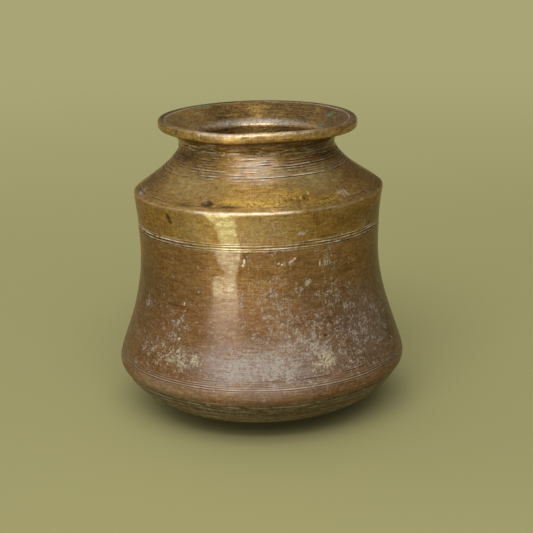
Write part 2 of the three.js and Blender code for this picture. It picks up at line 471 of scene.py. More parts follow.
# Casting pits, chips and scratches
PITS = (
    (-43.2, 86.6, 0.8, 2.4, 0.55, 0.5, 27), (-24.4, 93.2, 2.5, 0.9, 0.6, 0.6, 4),
    (14, 94.2, 0.9, 0.6, 0.35, 0.6), (17, 94.5, 0.7, 0.5, 0.25, 0.6),
    (20.4, 94.2, 1.3, 0.6, 0.35, 0.6, 10), (24.8, 93.9, 0.8, 0.5, 0.3, 0.6),
    (25.2, 95.4, 0.7, 0.9, 0.3, 0.6, 20), (47, 93.8, 2.8, 0.7, 0.25, 0.6, 12),
    (60.8, 93.3, 1.2, 0.6, 0.25, 0.6), (-7.8, 74.3, 0.35, 2.9, 0.3, 0.6, 2),
    (-32.5, 117.2, 0.9, 2.2, 0.5, 0.6, 6, 39), (-29, 115.4, 4.5, 1.6, 0.5, 0.9, 0, 39.6),
    (-10, 114.6, 5, 1.2, -0.35, 0.9, 0, 39.3), (152, 92.5, 1.6, 0.8, 0.45, 0.6),
    (-60, 91.2, 1.6, 0.5, 0.35, 0.6), (-48, 91.3, 0.9, 0.5, 0.3, 0.6),
    (6, 91.3, 1.1, 0.4, 0.25, 0.6), (31, 91.2, 1.4, 0.5, 0.3, 0.6),
    (52, 91.2, 1.8, 0.6, 0.35, 0.6), (-141, 87, 0.9, 1.6, 0.45, 0.6, -20),
    (118, 84, 1, 0.7, 0.4, 0.6), (-172, 48, 1.2, 0.9, 0.4, 0.6),
)

# Stains round the pits, and dark dots on the lip
DARK_STAINS = (
    (-43.2, 86.6, 1.3, 2.9, 1, 0.5, 27), (-24.6, 93.2, 3, 1.2, 1, 0.5, 4),
    (-14, 92.6, 10, 0.9, 0.75), (-36, 92.2, 10, 0.9, 0.6),
    (4, 93.4, 8, 0.6, 0.5, 0.9, 3), (34, 93.4, 8, 0.7, 0.55, 0.9, 3),
    (16, 94.3, 3.6, 0.9, 0.6), (22.4, 94.4, 2.2, 1.2, 0.7, 0.9, 8),
    (-6.4, 74.2, 0.5, 2.6, 0.9, 0.7, 6), (27.5, 43.4, 1.4, 0.9, 0.9, 0.8),
    (152, 92.5, 2.2, 1.2, 0.9, 0.6), (-141, 87, 1.3, 2.1, 0.9, 0.6, -20),
    (118, 84, 1.5, 1.1, 0.8, 0.6), (-51.2, 116.6, 1.6, 1.6, 0.8, 0.6, 0, 38.4),
    (-46, 117.4, 1.4, 0.9, 0.6, 0.6, 0, 37.8), (-32.5, 117, 0.8, 1.8, 1, 0.6, 6, 39.2),
    (-24, 117.8, 0.8, 0.5, 0.9, 0.6, 0, 38.4), (-21, 117.8, 0.5, 0.4, 0.9, 0.6, 0, 38.6),
    (-17, 117.8, 0.9, 0.5, 0.9, 0.6, 0, 38.4), (-12, 117.8, 0.6, 0.4, 0.8, 0.6, 0, 38.6),
    (13, 117.8, 1, 0.5, 0.9, 0.6, 0, 38.4), (21, 117.6, 1.6, 0.5, 0.9, 0.6, 0, 38.4),
    (30, 117.4, 1, 0.5, 0.9, 0.6, 0, 38.6), (38, 117, 1.8, 0.6, 0.8, 0.6, 0, 38.8),
    (54, 117, 1.6, 0.8, 0.8, 0.6, 0, 38.8), (-172, 113.5, 5, 3, 0.6, 0.9, 0, 30.5),
    (-150, 115.5, 8, 3, 0.5, 0.9, 0, 33.5), (165, 115.5, 9, 3, 0.45, 0.9, 0, 33.5),
    (120, 113.5, 5, 3, 0.4, 0.9, 0, 30.5), (-20, 94.6, 40, 1.2, 0.3),
)

# How much lime the water left
LIME = (
    (19, 42, 26, 24, 0.7, 0.85), (42, 42, 24, 24, 0.6, 0.8),
    (8, 58, 20, 12, 0.55), (6, 33.5, 24, 9, 0.95, 0.8),
    (-12, 34, 14, 8, 0.7), (26, 34.6, 8, 6, 1.2, 0.8, 10),
    (34, 56, 18, 12, 0.6), (33, 69.5, 8, 5, 0.7, 0.9, -30),
    (33.5, 75, 3, 2.6, 0.9, 0.9, 20), (21, 64, 3, 3, 0.8),
    (60, 40, 14, 20, 0.5), (12, 72, 5, 1.6, 0.8, 0.8),
    (-36, 34.5, 14, 6.5, 0.85, 0.8, 8), (-27.4, 35.2, 5, 4, 0.95),
    (-55, 37, 11, 5.5, 0.75, 0.9, 10), (-38, 47, 6, 6, 0.75),
    (-61, 50.5, 4, 4, 0.75), (-42, 40, 9, 6, 0.6),
    (46, 93.8, 6, 1.8, 1, 0.9, 8), (-73, 92.6, 4, 2),
    (8.8, 83.3, 2.4, 1.6, 0.8), (19.6, 82.1, 3, 1.8, 0.8),
    (41, 80.5, 5, 2, 0.7), (56, 82, 5, 4, 0.6),
    (-31, 82, 3, 2, 0.5), (12, 79.4, 3, 1, 0.9),
    (24.4, 79.6, 2, 0.8, 0.9), (118, 38, 26, 12, 0.9),
    (165, 34, 22, 9), (-150, 44, 24, 14, 0.8),
    (-108, 33, 18, 7), (140, 60, 14, 9, 0.6),
    (-168, 66, 16, 6, 0.6), (-128, 93.6, 9, 2, 0.9),
    (150, 94, 12, 2, 0.8),
)

# Grey in fine lines: partly a film of lime, partly painted sheen where the front of the neck, band and body
# face the lamps
VEIL_AND_SHEEN = (
    (0, 104.6, 12, 4.2, 0.6, 0.7), (0, 101.3, 16, 3.4, 0.55, 0.8),
    (-2, 84, 24, 14, 0.12, 0.95), (-172, 104, 14, 4, 0.6, 0.8),
    (-8, 34, 24, 10.5, 0.7, 0.8), (2, 34, 40, 13, 0.7, 0.95),
    (-15, 44, 12, 20, 0.1, 0.95), (12, 46, 22, 22, 0.1, 0.95),
    (50, 42, 20, 20, 0.25, 0.95), (140, 34, 40, 12, 0.6, 0.95),
    (-140, 36, 40, 12, 0.5, 0.95),
)

# Small white flecks and drips
FLECKS = (
    (-6.9, 73.2, 0.4, 1.6, 0.9, 0.5, 8), (-3, 117.2, 1.3, 0.35, 0.8, 0.8, 20, 38.9),
    (-1, 116.6, 1.6, 0.4, 0.9, 0.8, 10, 39.2), (-4.6, 116, 0.9, 0.35, 0.7, 0.8, 30, 39.2),
    (-7.3, 71.3, 0.55, 0.6, 1, 0.5), (8, 71.7, 0.45, 0.35, 1, 0.5),
    (9.6, 71.2, 0.45, 0.4, 1, 0.5), (14, 72.2, 1.5, 0.4, 1, 0.6, 25),
    (15.6, 73.2, 0.7, 0.5, 1, 0.6), (28, 70.6, 0.35, 2.2, 0.9, 0.5, -4),
    (-37, 42, 0.5, 0.45, 1, 0.5), (-36, 55, 0.6, 1, 0.8, 0.7),
    (-35, 52.5, 0.5, 0.5, 0.8, 0.7), (-47, 28.4, 0.3, 1, 1, 0.6),
    (130, 70, 0.4, 2, 0.9, 0.5, 8), (133, 68, 0.5, 0.5, 0.9, 0.5),
    (-150, 72, 1.2, 0.4, 0.9, 0.6, 15), (-100, 60, 0.5, 0.5, 0.9, 0.6),
)

# Brown tarnish, broad and soft, with painted shade on the sides of the pot and neck turned away from the
# lamps, and darker all round low on the belly
TARNISH_AND_SHADE = (
    (0, 98, 22, 14, 0.14), (-60, 106, 16, 4.5, 0.75, 0.8),
    (58, 106, 16, 4.5, 0.6, 0.8), (-76, 96, 14, 6, 0.5),
    (78, 96, 14, 6, 0.2), (0, 19, 999, 8, 0.45),
    (78, 84, 28, 12), (44, 85, 22, 9, 0.4, 0.95),
    (36, 79.6, 10, 2.4, 0.5), (80, 64, 30, 30, 0.9),
    (72, 40, 26, 24, 0.75), (40, 50, 22, 24, 0.3),
    (46, 37, 20, 12, 0.35), (-66, 60, 22, 34, 0.5),
    (-76, 36, 18, 14, 0.4), (160, 70, 30, 20, 0.4),
    (-130, 56, 24, 20, 0.35),
)

# Where the lime is creamy
CREAM = (
    (25.6, 33.8, 7, 5.5, 1, 0.8), (-27.4, 35.2, 4, 3, 0.7, 0.6),
    (-40, 34, 14, 6, 0.6, 0.6), (165, 34, 10, 6, 0.9, 0.6),
)

VERDIGRIS = (
    (-53.2, 92.6, 0.8, 1, 0.9, 0.6, 0, 45.6), (-52.8, 95, 0.6, 1, 0.8, 0.6, 20, 42.3),
    (-53.6, 97, 0.6, 1.2, 0.8, 0.6, 20, 39.4), (-50, 89.8, 0.7, 0.7, 0.7, 0.6, 0, 48.5),
    (-143.6, 117.4, 4.4, 1.3, 0.8, 0.6, 0, 35.6), (150, 117.9, 4, 0.5, 0.35, 0.6, 0, 37.2),
    (-168, 118, 3, 0.5, 0.35, 0.6, 0, 37.4), (115.2, 115.4, 2.6, 2.4, 0.62, 0.6, 0, 32.6),
    (112.4, 112, 1.5, 1.6, 1, 0.6, 0, 28.6), (-84, 116.4, 0.9, 1, 0.8, 0.6, 0, 38.9),
    (118, 115, 0.8, 0.7, 1, 0.6, 0, 31.6), (4, 110.6, 3.4, 0.6, 0.5, 0.6, 0, 26.6),
    (78, 117.5, 1, 0.9, 0.5, 0.6, 0, 38.2), (-96, 100, 1.2, 2.4, 0.6, 0.6, 15),
    (170, 92, 3, 0.7, 0.6, 0.6), (-7, 116.9, 2.6, 0.9, 0.5, 0.6, 0, 38.6),
)

# Golden casting specks
SPECKS = (
    (18, 95.5, 10, 2.2), (2, 93.4, 18, 1.8, 0.9),
    (34, 93, 16, 1.8, 0.9), (-14, 94.2, 10, 1.8, 0.7),
    (170, 94, 24, 1.6, 0.8), (-120, 93.5, 16, 1.4, 0.7),
)

# Brass painted toward the highlight tone: painted sheen on the front of the band, shoulder and lower body,
# and a few spots on the back
SHOULDER_PAINTED_SHEEN = (
    (-31, 84, 11, 9, 0.25), (1, 85, 16, 9, 0.22),
    (34, 100, 17, 6, 0.55), (-40, 98, 22, 6, 0.36),
    (150, 98, 24, 6, 0.25),
)
BODY_PAINTED_SHEEN = (
    (-42, 23.5, 26, 3.5, 0.3), (150, 60, 10, 26, 0.3),
)

# The painted highlight streak, the reflection of the low window: at each height its left and right edge, in
# degrees from the front, and its strength
HIGHLIGHT_STREAK = (
    (34, -24.8, -6.8, 0), (42, -24, -7.8, 0.05),
    (50, -23.2, -9, 0.1), (58, -22.4, -9.8, 0.3),
    (62, -22.2, -10, 0.7), (66.6, -21.8, -10.4, 0.75),
    (67.6, -17, -10.4, 0.6), (68.6, -16.8, -9.8, 0.7),
    (72, -18.8, -8.4, 0.8), (76.2, -20.4, -7.6, 0.85),
    (79.4, -18, -8.8, 0.7), (84, -18.8, -9, 0.9),
    (86.7, -20.2, -9, 1), (88.9, -22.8, -9.4, 1),
    (90.1, -24.2, -12, 0.95), (91, -25, -13.6, 0.85),
    (91.6, -25, -13.6, 0),
)


def highlight_streak(surface):
    heights, lefts, rights, strengths = zip(*HIGHLIGHT_STREAK)
    wave = 0.5 * GRAIN(surface.points, (40, 40, 2.2), 2) + 0.35 * GRAIN(surface.points + 5, 1.3)
    turn = surface.turn + wave
    left = np.interp(surface.height, heights, lefts)
    right = np.interp(surface.height, heights, rights)
    soft = 1 + 3 * ramp(surface.height, 62, 42)
    inside = ramp(turn, left, left + 1.6 * soft) * ramp(turn, right, right - 0.7 * soft)
    ripple = 1 + 0.4 * GRAIN(surface.points, (30, 30, 0.9), 2)
    below = surface.height < SHOULDER_HEIGHT + 0.6
    return inside * np.interp(surface.height, heights, strengths) * ripple * below


def out_of_round(surface):
    """The gentle unevenness of a hand-made pot, in millimetres."""
    low = 0.12 * FORM(surface.points, 38) + 0.07 * FORM(surface.points + 50, 13)
    for swell in SWELLS:
        low = low + spot(surface, *swell)
    return low - cover(PITS, surface)


def lathe_lines(surface, depth, size=1.1):
    """Shallow turning marks: rings that come and go round the pot."""
    return depth * GRAIN(surface.points, (90, 90, size), 2)


# The pieces

DISH_RINGS = (18.6, 16.9, 14.6, 12.4, 10.2, 7.9, 5.6, 3.4)
NECK_RINGS = (99.9, 102.6, 103.4, 104.2, 105.0, 105.9, 106.7)


def base_dish():
    centre = math.sqrt(DOME_RADIUS ** 2 - FOOT_RADIUS ** 2)
    radii = np.linspace(FOOT_RADIUS, DOME_EDGE, 40)
    dome = np.stack([radii, centre - np.sqrt(DOME_RADIUS ** 2 - radii ** 2)], 1)
    rise = math.degrees(math.asin(DOME_EDGE / DOME_RADIUS))
    turn_up = bend(dome[-1], rise, (DISH_EDGE - 0.15, BASE_SEAM - 0.3), 64, (0.17, 0.44))
    upstand = BODY_EDGE - LAP_SKIN - LAP_SLACK
    outside = joined(dome, turn_up, (DISH_EDGE - 0.3, BASE_SEAM))
    inside = inset(joined((0.5, 0), outside), DISH_WALL)
    inside = inside[(inside[:, 0] < upstand - LAP_WALL - 0.05) & (inside[:, 1] < BASE_LAP_TOP)]
    piece = Piece("dished_base")
    piece.hidden([(0.6, 0), (7, 0)])
    surface = piece.shown(outside, [Groove(height, 0.6, 0.1, 0.03, 0.2, 0.9) for height in DISH_RINGS])
    lift = 0.6 * out_of_round(surface) + lathe_lines(surface, 0.05, 0.8) + piece.cut_grooves(RINGS)
    piece.hidden([(upstand, BASE_SEAM), (upstand, BASE_LAP_TOP), (upstand - LAP_WALL, BASE_LAP_TOP)])
    piece.hidden(inside[::-1], INSIDE_STEP)
    return piece.build("base_dish", lift * settle(surface), caps=True)


def settle(surface):
    """Keeps the flat spot flat, so that the pot stands on the floor."""
    return ramp(surface.radius, FOOT_RADIUS, FOOT_RADIUS + 6)


def body_wall():
    foot = BODY_EDGE + 0.12, BASE_MOUTH + 0.3
    belly = BELLY_RADIUS, BELLY_HEIGHT
    waist = WAIST_RADIUS, WAIST_HEIGHT
    outside = joined(
        rounding((BODY_EDGE - 0.3, BASE_MOUTH), (BODY_EDGE, BASE_MOUTH), foot, 4),
        bend(foot, 68, belly, 90),
        bend(belly, 90, waist, 90, (0.125, 0.45)),
        bend(waist, 90, (WAIST_SEAM_RADIUS, WAIST_SEAM), 89),
    )
    socket = BODY_EDGE - LAP_SKIN
    upstand = WAIST_SEAM_RADIUS - LAP_SKIN - LAP_SLACK
    inside = inset(outside, BODY_WALL)
    inside = inside[(inside[:, 1] > BASE_LAP_TOP + LAP_SLACK + 0.1) & (inside[:, 1] < WAIST_SEAM - 0.1)]
    piece = Piece("body")
    piece.hidden((socket, BASE_MOUTH))
    rings = [Groove(26.1, 0.5, 0.12, 0.04), Groove(26.9, 0.45, 0.08, 0.03)]
    rings += [Groove(27.7, 0.4, 0.06, 0.025, 0.1, 0.9)]
    rings += [Groove(height, 0.4, 0.02, 0.01, 0.3, 2.2) for height in (22.6, 29.4)]
    surface = piece.shown(outside, rings)
    lift = out_of_round(surface) + lathe_lines(surface, 0.012) + piece.cut_grooves(RINGS)
    piece.layers["painted_highlight"] = cover(BODY_PAINTED_SHEEN, surface)
    # The pale burrs are partly a painted highlight, fainter towards the sides
    piece.layers["burr"] *= 1 - 0.6 * ramp(np.abs(surface.turn), 25, 55)
    piece.hidden([(upstand, WAIST_SEAM), (upstand, WAIST_LAP_TOP)])
    piece.hidden([(upstand - LAP_WALL, WAIST_LAP_TOP), (upstand - LAP_WALL, WAIST_SEAM)])
    piece.hidden(inside[::-1], INSIDE_STEP)
    piece.hidden((socket, BASE_LAP_TOP + LAP_SLACK))
    return piece.build("body_wall", lift)


def shoulder():
    corner = np.array([SHOULDER_RADIUS, SHOULDER_HEIGHT])
    below = corner - 0.9 * toward(86)
    above = corner + 0.9 * toward(150)
    outside = joined(
        bend((WAIST_SEAM_RADIUS, WAIST_MOUTH), 89, below, 86),
        rounding(below, corner, above),
        bend(above, 150, (NECK_RADIUS, NECK_SEAM), 106, (0.08, 0.265)),
    )
    socket = WAIST_SEAM_RADIUS - LAP_SKIN
    inside = inset(outside, SHOULDER_WALL)
    fits = (inside[:, 0] > NECK_SOCKET + 0.05) & (inside[:, 1] > WAIST_LAP_TOP + LAP_SLACK + 0.1)
    inside = inside[fits & (inside[:, 1] < SPIGOT_FOOT - LAP_SLACK)]
    piece = Piece("banded_shoulder")
    piece.hidden((socket, WAIST_MOUTH))
    rings = [Groove(77.8, 0.7, 0.22, 0.09, 0.16, 0.55), Groove(78.8, 0.5, 0.2, 0.09, 0.16, 0.5)]
    rings += [Groove(92.4, 0.6, 0.05, 0.02, 0.3, 1.2)]
    rings += [Groove(height, 0.5, 0.2, 0.05, 0.2, 1) for height in (100.9, 101.8)]
    rings += [Groove(height, 0.55, 0.17, 0.04, 0.3, 1.1) for height in NECK_RINGS]
    rings += [Groove(76.85, 0.5, 0.2, 0.09, 0.12, 0.5)]
    surface = piece.shown(outside, rings)
    lift = out_of_round(surface) + lathe_lines(surface, 0.015) + piece.cut_grooves(RINGS)
    uneven = 0.2 * GRAIN(surface.points, (8, 8, 4), 2)
    lift = lift + uneven * ridge(surface.height, SHOULDER_HEIGHT, 1.8)
    # Painted highlight along the top of the carination, strongest at the front; the pale ring burrs high on
    # the neck are fainter at the sides
    front = ramp(surface.turn, -34, -26) * ramp(surface.turn, 24, 14)
    broken = np.clip(0.9 + 0.9 * GRAIN(surface.points, 1.6, 2), 0, 1)
    edge = SHOULDER_HEIGHT - 0.1 + 0.1 * GRAIN(surface.points, 3)
    glint = ridge(surface.height, edge, 0.32) * broken * (0.25 + 0.75 * front)
    beads = np.clip(0.85 + 0.9 * GRAIN(surface.points + 2, 1.2, 2), 0, 1)
    aside = (surface.height > 99) * ramp(np.abs(surface.turn), 35, 60)
    piece.layers["burr"] = np.maximum(piece.layers["burr"] * beads * (1 - 0.5 * aside), glint)
    piece.layers["painted_highlight"] = cover(SHOULDER_PAINTED_SHEEN, surface)
    piece.hidden([(NECK_SOCKET, NECK_SEAM), (NECK_SOCKET, SPIGOT_FOOT - LAP_SLACK)])
    piece.hidden(inside[::-1], INSIDE_STEP)
    piece.hidden((socket, WAIST_LAP_TOP + LAP_SLACK))
    return piece.build("shoulder", lift)


def rim():
    edge_round = 1.5
    foot = (LIP_RADIUS - edge_round, LIP_UNDERSIDE)
    top_edge = (LIP_RADIUS - edge_round, LIP_TOP)
    land = np.array([LIP_RADIUS - 3.0, LIP_TOP - 0.4])
    throat_top = np.array([THROAT_RADIUS + 1.4, LIP_TOP - 6.6])
    outside = joined(
        bend((NECK_RADIUS, COLLAR_FOOT), 92, foot, 12, (0.3, 0.4)),
        rounding(foot, (LIP_RADIUS, LIP_UNDERSIDE), (LIP_RADIUS, LIP_UNDERSIDE + edge_round)),
        rounding((LIP_RADIUS, LIP_TOP - edge_round), (LIP_RADIUS, LIP_TOP), top_edge),
        bend(land, 205, throat_top, 216, (0.3, 0.3)),
        bend(throat_top, 216, (THROAT_RADIUS, LIP_TOP - 8.8), 270, (0.5, 0.5)),
    )
    piece = Piece("flared_rim")
    piece.hidden([(SPIGOT_RADIUS, SPIGOT_FOOT), (SPIGOT_RADIUS, COLLAR_FOOT)])
    rings = [Groove(None, 0.5, 0.18, 0.1, 0.15, 0.4, radius=LIP_RADIUS - 2.4)]
    rings += [Groove(height, 0.7, 0.16, 0.03, 0.35, 1) for height in (109.9, 111.3, 112.5)]
    surface = piece.shown(outside, rings, 0.34)
    outer = surface.distance < place_at(outside, LIP_TOP)
    collar = ramp(surface.height, LIP_UNDERSIDE - 1.2, LIP_UNDERSIDE - 2.7) * outer
    ragged = GRAIN(surface.points, (7, 7, 0.7), 3) + 0.5 * GRAIN(surface.points + 9, 1.6, 2)
    lift = 0.5 * out_of_round(surface) + 0.02 * GRAIN(surface.points, (60, 60, 0.7), 2)
    lift = lift + collar * 0.16 * ragged + piece.cut_grooves(RINGS)
    age_rim(piece, surface, outer, collar)
    piece.hidden((THROAT_RADIUS, SPIGOT_FOOT))
    return piece.build("rim", lift, warp=warped_rim)


def age_rim(piece, surface, outer, collar):
    """Painted shade inside the throat, under the lip's flare and on the right of the collar; a dish darker
    towards the back and mottled; painted highlights on the throat's edge and along the front of the lip's
    top edge; and a lip face lighter towards the front.
    """
    turn, height, radius = surface.turn, surface.height, surface.radius
    away = np.abs(turn)
    inner = 1.0 - outer
    broken = np.clip(0.75 + 1.1 * GRAIN(surface.points, 1.3, 2), 0, 1)
    streaks = np.clip(0.85 + 0.5 * GRAIN(surface.points, (0.7, 0.7, 8), 2), 0, 1)
    blots = 0.5 + 0.5 * STAINS(surface.points, (6, 6, 6), 3)
    # Painted shade inside the throat
    throat = ramp(height, LIP_TOP - 8.2, LIP_TOP - 9) * inner
    dish = inner * (radius > THROAT_RADIUS + 1.6) * (radius < LIP_RADIUS - 2.6)
    land = (height > LIP_TOP - 1.2) * (radius > LIP_RADIUS - 2.6)
    right = ramp(turn, 10, 50)
    left = ramp(turn, -50, -80) * ramp(turn, -150, -120)
    tarnish_and_shade = 0.9 * throat + 0.7 * land * ramp(away, 60, 90)
    tarnish_and_shade = tarnish_and_shade + dish * (0.05 + 0.25 * ramp(away, 90, 160) + 0.5 * blots) * (1 - 0.9 * left)
    # Painted shade under the lip's flare, and a painted shadow on the right of the collar
    under = ramp(height, LIP_UNDERSIDE + 0.3, LIP_UNDERSIDE - 0.5) * outer * (1 - collar)
    tarnish_and_shade = tarnish_and_shade + collar * (0.12 + 0.5 * blots + 0.8 * right) + 0.8 * under
    piece.layers["tarnish_and_shade"] = np.clip(tarnish_and_shade, 0, 1)
    # Painted highlight on the throat's rounded edge, strongest at the back
    gleam = ridge(height, LIP_TOP - 6.9, 1.0) * inner * (radius < THROAT_RADIUS + 3)
    piece.layers["painted_highlight"] = gleam * streaks * (0.25 + 0.75 * ramp(away, 128, 152))
    # Painted highlight along the front of the lip's top edge; the pale ragged lines on the collar are
    # fainter on its shaded right
    front = ramp(turn, -44, -30) * ramp(turn, 44, 22)
    edge = ridge(height, LIP_TOP - 0.5, 0.55) * outer * (radius > LIP_RADIUS - 2)
    scratches = ridge(GRAIN(surface.points + 3, (8, 8, 0.7), 3), 0.3, 0.09)
    burr = np.maximum(piece.layers["burr"] * (0.5 + 0.5 * blots), 0.7 * edge * broken * front)
    piece.layers["burr"] = np.maximum(burr, 0.85 * collar * scratches * (1 - 0.7 * right))
    # The lip's face is made lighter towards the front, and the dish lighter on its left
    face = outer * (height > LIP_UNDERSIDE + 0.1) * (height < LIP_TOP - 0.8) * ramp(away, 75, 35)
    piece.layers["worn"] = face * (0.1 + 0.2 * broken) + 0.5 * left * dish


# The lip is knocked out of true: how far to the right, and how far it is lifted at each angle from the
# front, in millimetres
LIP_SHIFT = 0.5
LIP_ANGLES = (-180, -135, -90, -60, -38, -20, 0, 14, 30, 60, 80, 110, 145, 180)
LIP_LIFTS = (0.5, 0.45, 0.35, 0.05, -0.2, -0.75, -0.2, -0.1, -0.5, -1.0, -0.9, -0.3, 0.2, 0.5)


def warped_rim(points):
    x, y, z = np.moveaxis(points, -1, 0)
    turns = np.arange(-180, 181, 2)
    lifts = np.interp(turns, LIP_ANGLES, LIP_LIFTS)
    soft = np.convolve(np.tile(lifts[:-1], 3), np.hanning(13) / np.hanning(13).sum(), "same")
    lifts = np.append(soft[180:360], soft[180])
    lift = np.interp(np.degrees(np.arctan2(x, -y)), turns, lifts)
    out = ramp(np.hypot(x, y), THROAT_RADIUS, LIP_RADIUS) * ramp(z, COLLAR_FOOT, COLLAR_FOOT + 4)
    return np.stack([x + out * LIP_SHIFT, y, z + out * lift], -1)


def braze_ring(name, node, inner, outer, swell=0, rough=0, step=0.2):
    """The spelter in a seam. swell is how far its middle stands out."""
    low, high = span(node, UP)
    heights = np.linspace(low, high, max(3, round((high - low) / step) + 1))
    bow = np.sqrt(np.clip(1 - (2 * (heights - low) / (high - low) - 1) ** 2, 0, 1))
    outside = np.stack([outer + swell * bow, heights], 1)
    piece = Piece(name)
    piece.hidden((inner, low))
    surface = piece.shown(outside, step=step)
    lift = rough * GRAIN(surface.points, (2.2, 2.2, 1.4), 3)
    piece.hidden((inner, high))
    return piece.build(node, lift)


# Materials

class Shader:
    """Builds the nodes of a material or world. Values go in as numbers, tuples or nodes' outputs."""

    def __init__(self, owner, output="ShaderNodeOutputMaterial"):
        owner.use_nodes = True
        self.tree = owner.node_tree
        self.tree.nodes.clear()
        self.output = self.tree.nodes.new(output)

    def finish(self, shader):
        self.tree.links.new(shader.outputs[0], self.output.inputs["Surface"])

    def node(self, kind, inputs, **settings):
        made = self.tree.nodes.new(kind)
        for name, value in settings.items():
            setattr(made, name, value)
        for socket, value in inputs.items():
            target = made.inputs[socket]
            if isinstance(value, bpy.types.NodeSocket):
                self.tree.links.new(value, target)
            else:
                target.default_value = value
        return made

    def place(self):
        """The place on the pot, in millimetres."""
        coordinates = self.node("ShaderNodeTexCoord", {})
        inputs = {0: coordinates.outputs["Object"], "Scale": 1 / MM}
        return self.node("ShaderNodeVectorMath", inputs, operation="SCALE").outputs[0]

    def noise(self, place, stretch, detail=4, roughness=0.7, distortion=0, shift=(0, 0, 0)):
        """Noise with that many bumps in a millimetre along x, y and z."""
        inputs = {0: place, 1: stretch, 2: shift}
        vector = self.node("ShaderNodeVectorMath", inputs, operation="MULTIPLY_ADD").outputs[0]
        inputs = {"Vector": vector, "Scale": 1, "Detail": detail, "Roughness": roughness,
                  "Distortion": distortion}
        return self.node("ShaderNodeTexNoise", inputs).outputs["Fac"]

    def maths(self, operation, *values):
        """The values joined two by two from the left."""
        total = values[0]
        for value in values[1:]:
            total = self.node("ShaderNodeMath", {0: total, 1: value}, operation=operation).outputs[0]
        return total

    def sum(self, *values):
        return self.maths("ADD", *values)

    def product(self, *values):
        return self.maths("MULTIPLY", *values)

    def most(self, *values):
        return self.maths("MAXIMUM", *values)

    def within(self, value, low, high, start=0, end=1):
        """The value, mapped smoothly from low..high to start..end and held there."""
        inputs = {"Value": value, "From Min": low, "From Max": high, "To Min": start, "To Max": end}
        return self.node("ShaderNodeMapRange", inputs, interpolation_type="SMOOTHSTEP").outputs["Result"]

    def mix(self, factor, a, b):
        inputs = {0: factor, 6: a, 7: b}
        return self.node("ShaderNodeMix", inputs, data_type="RGBA").outputs[2]

    def attribute(self, name):
        return self.node("ShaderNodeAttribute", {}, attribute_name=name).outputs["Fac"]

    def bump(self, height, depth, before=None):
        """Adds relief of that depth, in millimetres."""
        inputs = {"Height": height, "Distance": depth * MM, "Strength": 1}
        if before is not None:
            inputs["Normal"] = before
        return self.node("ShaderNodeBump", inputs).outputs["Normal"]


def colour(red, green, blue):
    """Linear RGBA from display values from 0 to 255."""
    channels = []
    for value in (red, green, blue):
        value /= 255
        channels.append(value / 12.92 if value <= 0.04045 else ((value + 0.055) / 1.055) ** 2.4)
    return (*channels, 1.0)


LIME_GREY = colour(178, 172, 161)
LIME_CREAM = colour(206, 196, 158)
HAZE_BROWN = colour(170, 156, 142)
VEIL_AND_SHEEN_GREY = colour(178, 176, 182)
FLECK_WHITE = colour(236, 224, 206)
SPECK_GOLD = colour(232, 190, 84)
STAIN_BROWN = colour(44, 32, 22)
GROOVE_BROWN = colour(46, 32, 20)
PALE_BURR_AND_GLINT = colour(246, 230, 212)
VERDIGRIS_GREEN = colour(74, 112, 84)
SPECULAR_GOLD = colour(222, 190, 132)
PAPER_NEAR = colour(172, 167, 115)
PAPER_FAR = colour(219, 213, 150)
PAPER_SEEN = colour(170, 165, 119)
SKY_COLOUR = (1.0, 0.98, 0.92, 1.0)


